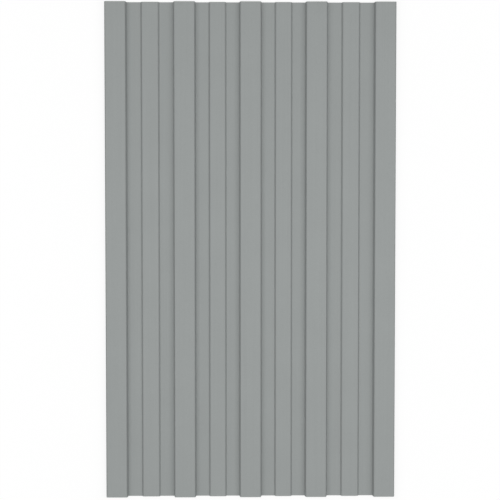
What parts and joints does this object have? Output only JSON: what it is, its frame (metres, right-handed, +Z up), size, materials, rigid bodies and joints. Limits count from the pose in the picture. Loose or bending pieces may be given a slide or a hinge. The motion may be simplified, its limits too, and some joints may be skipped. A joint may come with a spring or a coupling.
{
  "type": "corrugated metal sheet",
  "caption": "Flat-lying trapezoidal steel roofing sheet with tall lap ribs, low stiffening ribs in the pans between them and a matt grey coating.",
  "frame": {"origin": "middle of the sheet, on the level that the undersides of the pans lie on", "axes": "+Y along the ribs, +X across them, +Z up out of the ribbed face"},
  "size_m": [0.3522, 0.6, 0.0085],
  "materials": {
    "coated_steel": "matt grey coating with a fine even texture"
  },
  "bodies": {
    "root": {"sheet": "coated_steel"}
  },
  "joints": []
}
